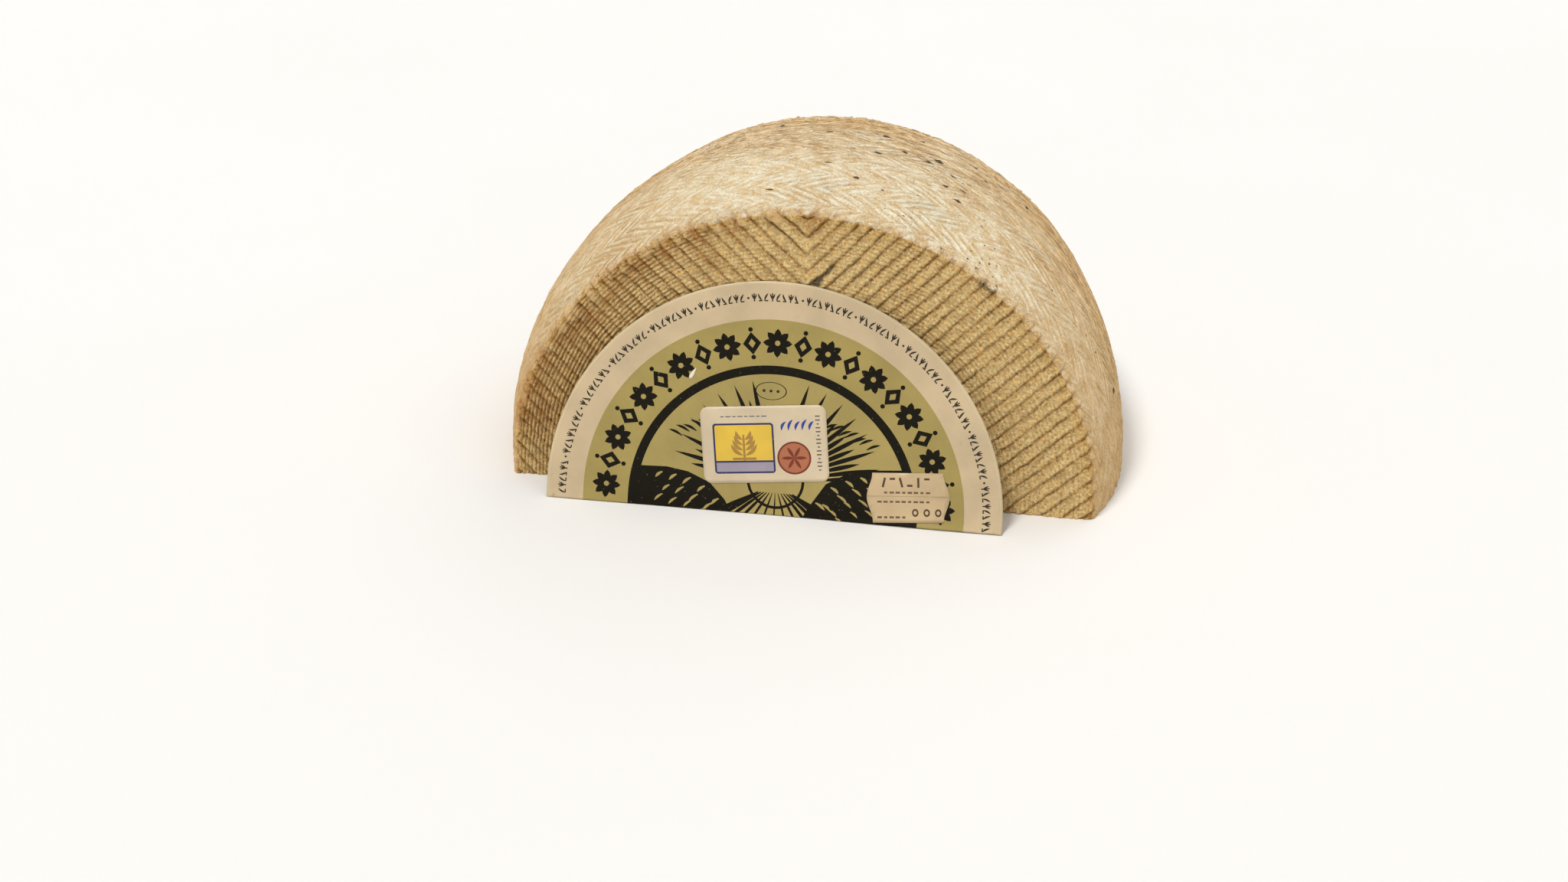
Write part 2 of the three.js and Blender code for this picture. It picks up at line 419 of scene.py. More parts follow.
def chip_cut_edge(skin, angle, normal_out, normal_back):
    """Make the rind ragged next to the cut, with small chips out of its edge."""
    chip = ease(noise(skin, (1.6, 1.6, 50), 41) + 0.6 * noise(skin, (0.8, 0.8, 50), 42), 0.1, 1.0)
    inward = CHIP_DEPTH * chip * np.exp(-(skin[..., 2] / CHIP_HEIGHT) ** 2)
    skin[..., 0] -= inward * normal_out * np.cos(angle)
    skin[..., 1] -= inward * normal_back
    for end in (0, -1):
        skin[:, end, 2] = 0.35 * chip[:, end]


def add_cheese():
    rows, edge = profile()
    angles = column_angles()
    grid = rows[1:-1]
    shape = (len(grid), len(angles))
    angle = np.broadcast_to(angles, shape)
    radius, depth, normal_out, normal_back = (np.broadcast_to(grid[:, k:k + 1], shape) for k in range(4))
    skin, values = rind_surface(angle, radius, depth, normal_out, normal_back)
    chip_cut_edge(skin, angle, normal_out, normal_back)

    x, z = skin[..., 0], skin[..., 2]
    labelled = ease(-skin[..., 1], 40, 48)
    values["stain"] = labelled * blobs(x, z, STAINS)
    values["wax"] = labelled * blobs(x, z, LUMPS)
    values["mould"] = labelled * streaks(x, z, MOULD)
    values["inside"] = 0 * x

    number = 1 + np.arange(x.size).reshape(shape)
    last = x.size + 1
    patch, inner, inside = cut_patch(rows, edge, number, skin, last)
    points = np.concatenate([[[0, FRONT, 0]], skin.reshape(-1, 3), [[0, FRONT + THICKNESS, 0]], inner])
    for key, value in values.items():
        values[key] = np.concatenate([[value.flat[0]], value.reshape(-1), [value.flat[-1]], 0 * inside])
    values["inside"][last + 1:] = inside

    rind = quads(number)
    front_fan = np.stack([0 * number[0, 1:], number[0, :-1], number[0, 1:]], -1)
    back_fan = np.stack([0 * number[-1, 1:] + last, number[-1, 1:], number[-1, :-1]], -1)
    cut = quads(patch)
    faces = rind.tolist() + front_fan.tolist() + back_fan.tolist() + cut.tolist()
    material_index = [0] * (len(faces) - len(cut)) + [1] * len(cut)
    piece = add_mesh("cheese", points, faces, [rind_material(), paste_material()], material_index, values)
    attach(piece, "root")
    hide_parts("cheese_half_wheel")


# --- Mould specks ----------------------------------------------------------------------------

SPECKS = [  # arc from the left foot, depth behind the labelled face, radius before SPECK_SCALE
    (178, 44, 1.4), (197, 56, 1.4), (201, 35, 1.3), (209, 70, 1.6), (143, 72, 1.3), (164, 29, 0.9),
    (207, 38, 1.0), (206, 29, 1.1), (174, 22, 0.9), (290, 32, 1.1), (170, 44, 0.9), (194, 51, 1.1),
    (148, 12, 0.8), (179, 66, 1.1), (186, 52, 1.0), (203, 47, 0.9), (214, 61, 1.2), (222, 52, 0.9),
    (160, 60, 0.9), (231, 66, 1.1), (190, 74, 1.2),
]
LOOSE_SPECKS = 80
CLUSTER_SPECKS = 22
CLUSTER_MIDDLE, CLUSTER_SPREAD = (223, 8), (4.5, 3.5)
SPECK_SCALE = 0.85
SPECK_SIDES, SPECK_RINGS = 14, 4


def speck_spots(draw):
    """Arc, depth and radius of the specks: the larger ones, then loose ones, then a cluster."""
    spots = list(SPECKS)
    for _ in range(LOOSE_SPECKS):
        arc = BULGE_RADIUS * math.pi * draw.beta(3.2, 2.0)
        spots.append((arc, THICKNESS * draw.beta(1.6, 1.3), draw.uniform(0.2, 0.45)))
    for _ in range(CLUSTER_SPECKS):
        arc, depth = draw.normal(CLUSTER_MIDDLE, CLUSTER_SPREAD)
        spots.append((arc, max(depth, 2.5), draw.uniform(0.2, 0.5)))
    return spots


def dome_faces(first, rings, sides):
    """Faces of a closed dome whose points are its top and then its rings from the top down."""
    def point(ring, i):
        return first + 1 + ring * sides + i % sides

    faces = [[first, point(0, i), point(0, i + 1)] for i in range(sides)]
    for ring in range(rings - 1):
        for i in range(sides):
            faces.append([point(ring, i), point(ring + 1, i), point(ring + 1, i + 1), point(ring, i + 1)])
    return faces + [[point(rings - 1, i) for i in range(sides)][::-1]]


def add_specks():
    """Small dark colonies on the plaited side: low uneven domes, sunk a little at their edges."""
    draw = np.random.default_rng(12)
    turn = np.arange(SPECK_SIDES) / SPECK_SIDES * 2 * math.pi
    ring = np.arange(1, SPECK_RINGS + 1)[:, None] / SPECK_RINGS
    share = np.concatenate([[0], np.repeat(ring.ravel(), SPECK_SIDES)])
    points, faces = [], []
    for arc, depth, size in speck_spots(draw):
        size *= SPECK_SCALE
        lobes = sum(draw.uniform(-1, 1) * np.cos(k * turn + draw.uniform(0, 6)) / k for k in (1, 2, 3, 5))
        edge = size * np.clip(1 + 0.35 * lobes, 0.4, 1.8)
        across = np.concatenate([[0], (ring * edge * np.cos(turn)).ravel()]) * draw.uniform(0.9, 2.0)
        back = np.concatenate([[0], (ring * edge * np.sin(turn)).ravel()])
        lift = (1 - share ** 2) * 0.14 * size ** 0.5 - 0.03
        angle = math.pi - (arc + across) / BULGE_RADIUS
        row_depth = np.clip(depth + back, RIM_ROUND, THICKNESS - RIM_ROUND)
        on_rind, _ = rind_surface(angle, side_radius(row_depth), row_depth, np.ones_like(angle), 0 * angle)
        on_rind[:, 0] += lift * np.cos(angle)
        on_rind[:, 2] += lift * np.sin(angle)
        faces += dome_faces(len(points) * len(share), SPECK_RINGS, SPECK_SIDES)
        points.append(on_rind)
    values = {"share": np.tile(share, len(points))}
    piece = add_mesh("mould_specks", np.concatenate(points), faces, [speck_material()], values=values)
    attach(piece, "root")


# --- Flat shapes for the prints --------------------------------------------------------------

def counter_clockwise(polygon):
    x, y = polygon[:, 0], polygon[:, 1]
    area = np.sum(x * np.roll(y, -1) - np.roll(x, -1) * y)
    return polygon if area > 0 else polygon[::-1]


def heading(angle):
    """One unit in the direction of an angle in radians."""
    return np.array((math.cos(angle), math.sin(angle)))


def arc_points(radius, start, end, count, middle=(0, 0)):
    turn = np.radians(np.linspace(start, end, count))
    return np.stack([middle[0] + radius * np.cos(turn), middle[1] + radius * np.sin(turn)], -1)


def disc(radius, middle=(0, 0), count=20, stretch=1.0):
    points = arc_points(radius, 0, 360, count + 1)[:-1] * (stretch, 1)
    return points + middle


def leaf(base, tip, width, bend=0.0, count=6, blunt=0.0):
    """A leaf or tapered stroke from base to tip. blunt is the share of its width kept at the base."""
    base, tip = np.array(base, float), np.array(tip, float)
    along = tip - base
    normal = np.array((-along[1], along[0])) / np.hypot(*along)
    t = np.linspace(0, 1, count)[:, None]
    spine = base + t * along + normal * bend * np.sin(math.pi * t)
    half = width / 2 * np.maximum(np.sin(math.pi * t) ** 0.8, blunt * (1 - t))
    right, left = spine - normal * half, spine + normal * half
    return np.concatenate([right, left[-2:0:-1]] + ([left[:1]] if blunt else []))


def bar(width, height, middle=(0, 0), turn=0.0, corner=0.0):
    """A rectangle, with rounded corners if corner is given."""
    x, y = width / 2 - corner, height / 2 - corner
    if corner:
        quarters = ((x, y, 0), (-x, y, 90), (-x, -y, 180), (x, -y, 270))
        points = np.concatenate([arc_points(corner, a, a + 90, 6, (px, py)) for px, py, a in quarters])
    else:
        points = np.array([(x, y), (-x, y), (-x, -y), (x, -y)], float)
    return turned(points, turn) + middle


def turned(points, degrees):
    cos, sin = heading(math.radians(degrees))
    x, y = points[..., 0], points[..., 1]
    return np.stack([x * cos - y * sin, x * sin + y * cos], -1)


# --- Printed sheets --------------------------------------------------------------------------

LABEL_LOW, LABEL_HIGH = box_mm("round_label")
PAPER = 0.4
LABEL_RADIUS = (LABEL_HIGH[0] - LABEL_LOW[0]) / 2
LEAN = math.atan2(LABEL_HIGH[1] - LABEL_LOW[1] - PAPER, LABEL_HIGH[2] - LABEL_LOW[2])
LABEL_HEIGHT = (LABEL_HIGH[2] - LABEL_LOW[2]) / math.cos(LEAN)
LABEL_MIDDLE = np.array(((LABEL_LOW[0] + LABEL_HIGH[0]) / 2, LABEL_HEIGHT - LABEL_RADIUS))
FOOT_Y = LABEL_LOW[1] + PAPER * math.cos(LEAN)
FOOT_Z = LABEL_LOW[2]
FILM = 0.8  # clear film past the print
FIELD_RADIUS = 61.0  # the olive field inside the cream ring
RING_OUTER, RING_INNER = 46.4, 43.6  # the black ring
FOOT_CURL = 1.5  # how far the foot of the label bends forward at its right end
CURL_HEIGHT = 5.0


def on_label(x, up, lift):
    """A point of the label from its place on the paper; lift is towards the viewer."""
    spot = np.stack([x, up, 0 * x], -1)
    foot = np.clip(1 - up / CURL_HEIGHT, 0, 1)
    wave = 0.22 * noise(spot, (24, 60, 1), 71) + 0.1 * noise(spot, (9, 30, 1), 72)
    calm = ease(np.hypot(x - LABEL_MIDDLE[0], up - LABEL_MIDDLE[1]), LABEL_RADIUS + 2, LABEL_RADIUS - 22)
    curl = FOOT_CURL * (0.45 + 0.55 * ease(x, -10, 40))
    lift = lift + curl * foot ** 2 + wave * calm * 0.8
    y = FOOT_Y + up * math.sin(LEAN) - lift * math.cos(LEAN)
    z = FOOT_Z + up * math.cos(LEAN) + lift * math.sin(LEAN)
    return np.stack([x, y, z], -1)


def add_sheet(name, node, outline, prints, place, thickness, spacing, materials):
    """A thin closed sheet cut along its outline. Each print is a polygon with the number of its
    material. Later ones lie over earlier ones. Material 0 is bare paper and 1 the sheet's back."""
    outline = counter_clockwise(outline)
    low, high = outline.min(0), outline.max(0)
    mesh_x = np.arange(low[0] + spacing / 2, high[0], spacing)
    mesh_up = np.arange(low[1] + spacing / 2, high[1], spacing)
    filling = np.array([(x, up) for x in mesh_x for up in mesh_up])
    polygons = [outline] + [counter_clockwise(polygon) for polygon, _ in prints]
    starts = np.cumsum([0] + [len(p) for p in polygons])
    spots = [Vector(p) for p in np.concatenate(polygons + [filling]).tolist()]
    rings = [list(range(a, b)) for a, b in zip(starts[:-1], starts[1:])]
    found, _, triangles, _, _, sources = delaunay_2d_cdt(spots, [], rings, 1, 1e-5)
    flat = np.array([tuple(v) for v in found])
    kept = [(t, max(s)) for t, s in zip(triangles, sources) if 0 in s]
    front = [list(t) for t, _ in kept]
    colour = [prints[top - 1][1] if top else 0 for _, top in kept]
    used = sorted({i for t in front for i in t})
    new = {old: i for i, old in enumerate(used)}
    front = [[new[i] for i in t] for t in front]
    flat = flat[used]
    count = len(flat)
    edges = {(t[k], t[(k + 1) % 3]) for t in front for k in range(3)}
    rim = [(a, b) for a, b in edges if (b, a) not in edges]
    back = [[i + count for i in t[::-1]] for t in front]
    sides = sorted([b, a, a + count, b + count] for a, b in rim)
    points = np.concatenate([place(flat[:, 0], flat[:, 1], thickness), place(flat[:, 0], flat[:, 1], 0.0)])
    index = colour + [1] * (len(back) + len(sides))
    smooth = np.arange(len(index)) < len(front) + len(back)
    piece = add_mesh(name, points, front + back + sides, materials, index, smooth=smooth)
    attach(piece, "root")
    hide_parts(node)


# --- The round label -------------------------------------------------------------------------

PAPER_BACK = (226, 214, 192)
LABEL_INKS = {
    "cream": (204, 182, 146), "back": PAPER_BACK, "olive": (165, 146, 83), "centre": (168, 149, 87),
    "black": (22, 18, 8), "small_ink": (46, 39, 28), "film_edge": (208, 189, 152),
}
CREAM, _, OLIVE, CENTRE, BLACK, SMALL_INK, FILM_EDGE = range(7)
LABEL_THICKNESS = 0.32
LABEL_SPACING = 4.0  # of the mesh between the prints
FOOT_LINES = (6.0, 4.2, 2.9, 1.9, 1.1, 0.5)  # mesh lines across the foot, where the label bends
MARK_RADIUS, MARK_TURN = 66.7, 1.6
ORNAMENT_RADIUS, ORNAMENT_TURN = 48.9, 8.6


def around(polygon, radius, degrees):
    """A shape drawn upright at the origin, moved out from the label's middle and turned with it."""
    out = heading(math.radians(degrees))
    across = np.array((out[1], -out[0]))
    return LABEL_MIDDLE + polygon[:, :1] * across + (radius + polygon[:, 1:]) * out


def rosette():
    """A bold flower with eight petals, 9.2 across; the last shape is its pierced middle."""
    middle = np.array((0, 4.7))
    ways = [heading(k * math.pi / 4)[::-1] for k in range(8)]
    shapes = [leaf(middle + 0.5 * out, middle + 4.6 * out, 2.3) for out in ways]
    return shapes + [disc(1.9, middle, 20), disc(0.85, middle, 16)]


def lozenge():
    """A bold pierced diamond between two dots, 9.4 high; the last shape is the piercing."""
    outer = np.array([(2.9, 4.7), (0, 8.3), (-2.9, 4.7), (0, 1.1)], float)
    inner = np.array([(1.1, 4.7), (0, 6.2), (-1.1, 4.7), (0, 3.2)], float)
    return [outer, disc(0.75, (0, 0.3), 10), disc(0.75, (0, 9.1), 10), inner]


def border_marks():
    """Small marks round the cream ring: sprigs in groups, with a dot between groups."""
    marks = []
    for i, degrees in enumerate(np.arange(-1.0, 181.0, MARK_TURN)):
        if i % 9 == 8:
            shapes = [disc(0.38, (0, 1.2), 8)]
        elif i % 3 == 1:
            shapes = [bar(0.4, 2.6, (0, 1.3))] + [leaf((0, 0.5), (x, 2.5), 0.5) for x in (0.8, -0.8)]
        else:
            x = 0.65 if i % 2 else -0.65
            shapes = [leaf((-x, 0), (x, 2.6), 0.6, bend=0.25), bar(1.1, 0.4, (0, 0.2))]
        marks += [(around(shape, MARK_RADIUS, degrees), SMALL_INK) for shape in shapes]
    return marks


def ring_ornaments():
    ornaments = []
    for i, degrees in enumerate(np.arange(4.0, 180.0, ORNAMENT_TURN)):
        *shapes, piercing = lozenge() if i % 2 else rosette()
        ornaments += [(around(shape, ORNAMENT_RADIUS, degrees), BLACK) for shape in shapes]
        ornaments.append((around(piercing, ORNAMENT_RADIUS, degrees), OLIVE))
    return ornaments


def hill(side, foot, top, end_angle, cuts, seed):
    """A dark hill from the middle out to the black ring, with pale strokes cut into its slope."""
    draw = np.random.default_rng(seed)
    rim = arc_points(RING_INNER + 0.6, end_angle, -8, 8)
    ridge = [(foot, -4), (foot + 3, 1.5), (foot + 8, top * 0.62), (foot + 15, top * 0.9), (foot + 22, top)]
    outline = np.concatenate([np.array(ridge, float), rim])
    slope_x, slope_up = outline[:len(ridge) + 1].T
    shapes = [(outline, BLACK)]
    fall = math.atan2(rim[0, 1] - ridge[2][1], rim[0, 0] - ridge[2][0]) - 0.9
    for row in range(cuts):
        for x in np.arange(foot + 5 + row * 2.2, 37 - row * 0.6, 4.6):
            height = np.interp(x, slope_x, slope_up)
            start = np.array((x, height - 1.9 - 3.7 * row + draw.uniform(-0.3, 0.3)))
            length = 3.3 + draw.uniform(-0.4, 0.7)
            end = start + length * heading(fall)
            if np.hypot(*end) < RING_INNER - 1 and end[1] > -4:
                shapes.append((leaf(start, end, 0.95 - 0.08 * row, bend=0.25, blunt=0.5), CENTRE))
    return [(polygon * (side, 1) + LABEL_MIDDLE, ink) for polygon, ink in shapes]


def sunrise():
    """The woodcut in the middle of the label: a sun with rays over a ploughed field, two flights
    of strokes beside it and an oval above it. hill() adds the hills."""
    sun = np.array((1.0, 9.0))
    shapes = []
    for i, degrees in enumerate(np.arange(6, 176, 5.2)):
        out = heading(math.radians(degrees))
        near, far = (12.0, 33.5) if i % 2 else (14.5, 27.5)
        if 78 < degrees < 104:
            far = min(far, 25.0)
        far = min(far, 0.93 * RING_INNER - 6.5 * out[1])
        shapes.append((leaf(sun + near * out, sun + far * out, 1.5, blunt=0.2, count=7), BLACK))
    shapes += [(disc(9.2, sun, 32), BLACK), (disc(8.3, sun, 32), CENTRE)]
    for i in range(-6, 7):
        furrow = leaf((i * 0.9 + 1, 5.0), (i * 4.2 + 1, -6), 0.5 + 0.16 * abs(i), blunt=0.3)
        shapes.append((furrow, BLACK))
    for side in (-1, 1):
        for k in range(7):
            base = np.array((side * (15.5 + 2.3 * k), 27.2 - 0.95 * k + 0.6 * (k % 2)))
            shapes.append((leaf(base, base + (side * 4.4, 1.9), 0.9, bend=0.3 * side, blunt=0.3), BLACK))
    oval = disc(1, (0, 0), 28) * (5.0, 2.9)
    middle = np.array((-1.5, 38.2))
    shapes += [(oval + middle, BLACK), (oval * 0.93 + middle, CENTRE)]
    shapes += [(disc(0.5, middle + (dx, 0), 10), SMALL_INK) for dx in (-2.2, 0, 2.2)]
    return [(polygon + LABEL_MIDDLE, ink) for polygon, ink in shapes]


def label_circle(radius):
    return arc_points(radius, 0, 360, 241, LABEL_MIDDLE)[:-1]


def above(height):
    """All of the label above a height, with many points along its lower edge."""
    line = np.linspace(LABEL_MIDDLE[0] - 70, LABEL_MIDDLE[0] + 70, 50)
    lower, upper = np.stack([line, 0 * line + height], -1), np.stack([line[::-1], 0 * line + 80], -1)
    return np.concatenate([lower, upper])


def add_label():
    foot_turn = math.degrees(math.asin(-LABEL_MIDDLE[1] / LABEL_RADIUS))
    outline = arc_points(LABEL_RADIUS, foot_turn, 180 - foot_turn, 240, LABEL_MIDDLE)
    outline = np.concatenate([outline, np.linspace(outline[-1], outline[0], 60)[1:-1]])
    prints = [(above(height), CREAM) for height in FOOT_LINES]
    circles = {
        LABEL_RADIUS + 1: FILM_EDGE, LABEL_RADIUS - FILM: CREAM, FIELD_RADIUS: OLIVE,
        RING_OUTER: BLACK, RING_INNER: CENTRE,
    }
    prints += [(label_circle(radius), ink) for radius, ink in circles.items()]
    prints += border_marks() + ring_ornaments() + sunrise()
    prints += hill(1, 9, 15, 21, 4, 5) + hill(-1, 12, 11, 14, 3, 6)
    add_sheet("round_label_print", "round_label", outline, prints, on_label,
              LABEL_THICKNESS, LABEL_SPACING, inks("label", LABEL_INKS))


# --- The two stickers ------------------------------------------------------------------------

QUALITY_SIZE, QUALITY_CORNER, QUALITY_TURN = (40, 25), 2.6, 5.5
EMBLEM_X, SEAL = -6.6, np.array((9.2, -4.6))
DATE_SIZE, DATE_WAVE, DATE_TURN = (26, 16), 1.9, 4.1
STICKER_THICKNESS, STICKER_LIFT, STICKER_SPACING = 0.16, 0.36, 2.5

QUALITY_INKS = {
    "white": (214, 196, 165), "back": PAPER_BACK, "yellow": (228, 190, 70), "navy": (44, 48, 92),
    "lilac": (160, 150, 165), "brick": (176, 108, 74), "dark_brick": (120, 52, 36), "gold": (170, 130, 62),
    "blue": (44, 62, 150), "grey": (104, 96, 92),
}
_, _, YELLOW, NAVY, LILAC, BRICK, DARK_BRICK, GOLD, BLUE, GREY = range(10)
DATE_INKS = {
    "paper": (204, 178, 138), "back": PAPER_BACK, "print": (110, 88, 68), "line": (170, 146, 112),
    "bold": (84, 66, 50),
}
DATE_PAPER, _, DATE_PRINT, DATE_LINE, DATE_BOLD = range(5)


def sticker_place(node, turn):
    """A function like on_label() for a sticker: its middle comes from its CAD box."""
    low, high = box_mm(node)
    middle_x, middle_up = (low[0] + high[0]) / 2, ((low[2] + high[2]) / 2 - FOOT_Z) / math.cos(LEAN)
    cos, sin = heading(math.radians(turn))

    def place(x, up, lift):
        return on_label(middle_x + x * cos - up * sin, middle_up + x * sin + up * cos, STICKER_LIFT + lift)
    return place


def add_quality_sticker():
    """Blocks of colour with a leafy twig, a disc with six rays, five short strokes, and bars."""
    outline = bar(*QUALITY_SIZE, corner=QUALITY_CORNER)
    prints = [
        (bar(19.4, 16.4, (EMBLEM_X, -1.2), corner=1.0), NAVY),
        (bar(18.2, 15.2, (EMBLEM_X, -1.2), corner=0.6), YELLOW),
        (bar(18.2, 3.6, (EMBLEM_X, -7.0)), NAVY), (bar(18.2, 3.0, (EMBLEM_X, -7.3)), LILAC),
    ]
    for side in (-1, 1):
        for k in range(4):
            base = (EMBLEM_X + side * 0.3, -3.6 + 1.7 * k)
            tip = (EMBLEM_X + side * (4.2 - 0.6 * k), 0.2 + 1.45 * k)
            prints.append((leaf(base, tip, 1.3, bend=side * -0.6), GOLD))
    prints += [(bar(0.7, 8.5, (EMBLEM_X, -1.0)), GOLD), (bar(7.5, 0.8, (EMBLEM_X, -4.6)), GOLD)]
    prints += [(disc(5.4, SEAL, 30), DARK_BRICK), (disc(4.8, SEAL, 30), BRICK)]
    prints += [(leaf(SEAL, SEAL + 4.1 * heading(k * math.pi / 3), 1.1), DARK_BRICK) for k in range(6)]
    for k in range(5):
        stroke = leaf((5.6 + 2.2 * k, 4.3), (7.2 + 2.2 * k, 7.4 + 0.6 * (k % 2)), 0.9, bend=0.5)
        prints.append((stroke, BLUE))
    prints += [(bar(1.7 if k % 2 else 1.1, 0.28, (-13 + 1.9 * k, 9.2)), NAVY) for k in range(8)]
    prints += [(bar(1.5 if k % 3 else 0.7, 0.45, (17.2, -8.6 + 1.25 * k)), GREY) for k in range(15)]
    place = sticker_place("quality_sticker", QUALITY_TURN)
    add_sheet("white_sticker", "quality_sticker", outline, prints, place,
              STICKER_THICKNESS, STICKER_SPACING, inks("sticker", QUALITY_INKS))


def add_date_sticker():
    """A line, three rows of short bars, a row of bold strokes and three rings on wavy-sided paper."""
    width, height = DATE_SIZE
    share = np.linspace(0, 1, 25)
    out = width / 2 - DATE_WAVE * (0.5 + 0.5 * np.cos(2 * math.pi * share))
    edge = np.stack([out, (share - 0.5) * height], -1)
    outline = np.concatenate([edge, (edge * (-1, 1))[::-1]])
    prints = [(bar(30, 0.16, (0, 0.4)), DATE_LINE)]
    for row, (up, first, count) in enumerate(((1.6, -7, 8), (-1.4, -9, 9), (-6.4, -9, 5))):
        for k in range(count):
            length = 1.4 - 0.4 * ((k + row) % 3 == 0)
            prints.append((bar(length, 0.65, (first + 1.9 * k, up)), DATE_PRINT))
    for k in range(6):
        if k % 2:
            shape = bar(1.7, 0.7, (-7.5 + 2.7 * k, 3.9 + 2.2 * (k % 4 == 1)))
        else:
            shape = bar(0.7, 3.2, (-7.5 + 2.7 * k, 4.9), turn=(-14, 0, 14)[k % 3])
        prints.append((shape, DATE_BOLD))
    ring = disc(1.3, (0, 0), 16, stretch=0.8)
    for k in range(3):
        middle = np.array((2.2 + 3.6 * k, -4.9))
        prints += [(ring + middle, DATE_BOLD), (ring * 0.5 + middle, DATE_PAPER)]
    place = sticker_place("date_sticker", DATE_TURN)
    add_sheet("price_sticker", "date_sticker", outline, prints, place,
              STICKER_THICKNESS, STICKER_SPACING, inks("date", DATE_INKS))


# --- The dried drop --------------------------------------------------------------------------

DRIP_X, DRIP_UP, DRIP_TURN = -33.3, 44.1, 62  # its middle on the label and its slant in degrees
DRIP_LENGTH, DRIP_WIDTH, DRIP_HEIGHT = 2.1, 0.62, 0.5  # from its middle; one end is narrower
DRIP_LIFT = 0.3
DRIP_RINGS, DRIP_SIDES = (0.35, 0.65, 0.88, 1.0), 16


def add_drip():
    """A dried pale drop on the label: a slanted dome with a thin tail."""
    share = np.concatenate([[0], np.repeat(DRIP_RINGS, DRIP_SIDES)])
    turn = np.concatenate([[0], np.tile(np.arange(DRIP_SIDES) / DRIP_SIDES * 2 * math.pi, len(DRIP_RINGS))])
    wide = share * np.sin(turn) * DRIP_WIDTH * (1 - 0.45 * np.cos(turn))
    flat = turned(np.stack([share * np.cos(turn) * DRIP_LENGTH, wide], -1), DRIP_TURN)
    lift = DRIP_HEIGHT * np.sqrt(1 - share ** 2) + DRIP_LIFT
    points = on_label(DRIP_X + flat[:, 0], DRIP_UP + flat[:, 1], lift)
    faces = dome_faces(0, len(DRIP_RINGS), DRIP_SIDES)
    piece = add_mesh("dried_drop", points, faces, [drop_material()])
    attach(piece, "root")


# --- Materials -------------------------------------------------------------------------------

# Ends of the side's colour: besides its own tone, the painted highlight on the raised lines and painted
# shade in the channels run between them
SIDE_LOW, SIDE_HIGH = (214, 178, 122), (255, 250, 226)
TAN_LOW, TAN_HIGH = (162, 118, 66), (250, 216, 164)
SIDE_GOLD, SIDE_PIT, SIDE_BROWN = (228, 190, 124), (156, 124, 80), (130, 98, 60)
SIDE_STRAW = (206, 168, 106)
FIBRE_LENGTH, FIBRE_WIDTH = 6.0, 0.5
PALE_ARC = 172.0  # mm round the wheel from its left foot: the side is palest here
# Ends of the face's colour: the low end carries painted shade in grooves and rib notches, the high end
# painted highlight on crests and crumbs
FACE_LOW, FACE_HIGH = (162, 117, 62), (252, 224, 160)
FACE_GOLD, FACE_GREY, FACE_PIT = (248, 194, 108), (184, 154, 100), (138, 100, 50)
# The rim's colour runs from brown, partly painted shade in its hollows and at its crumbs' edges, to gold,
# partly painted highlight on its crests and crumb middles
RIM_BROWN_AND_SHADE, RIM_GOLD = (166, 114, 50), (246, 200, 114)
STAIN_BROWN = (164, 106, 46)
WAX_PALE, WAX_DEEP = (246, 216, 160), (220, 174, 110)
MOULD_GREY = (62, 56, 46)
PASTE_PALE, PASTE_DEEP, PASTE_EDGE = (247, 232, 190), (241, 214, 150), (206, 172, 120)
PASTE_CLOUD, PASTE_FLECK = (244, 222, 166), (252, 246, 226)
SPECK_DARK, SPECK_PALE, SPECK_EDGE = (56, 54, 48), (98, 88, 70), (176, 142, 96)
DROP_LOW, DROP_HIGH = (222, 210, 184), (240, 232, 212)
PAPER_SPECK = (236, 224, 198)
FLOOR_LOW, FLOOR_HIGH = (238, 237, 235), (242, 241, 239)
INK_GLOSS = {"back": 0.1, "black": 0.0}  # 0.5 for all other inks


def linear(colour):
    """A colour given as on a screen, 0 to 255, for a shader."""
    parts = [c / 255 for c in colour]
    return tuple(c / 12.92 if c < 0.04045 else ((c + 0.055) / 1.055) ** 2.4 for c in parts) + (1.0,)


class Wire:
    """A node's output. + - * and / give a new Math node's output."""

    def __init__(self, shader, socket):
        self.shader = shader
        self.socket = socket

    def __add__(self, other):
        return self.shader.math("ADD", self, other)

    def __sub__(self, other):
        return self.shader.math("SUBTRACT", self, other)

    def __rsub__(self, other):
        return self.shader.math("SUBTRACT", other, self)

    def __mul__(self, other):
        return self.shader.math("MULTIPLY", self, other)

    def __truediv__(self, other):
        return self.shader.math("DIVIDE", self, other)


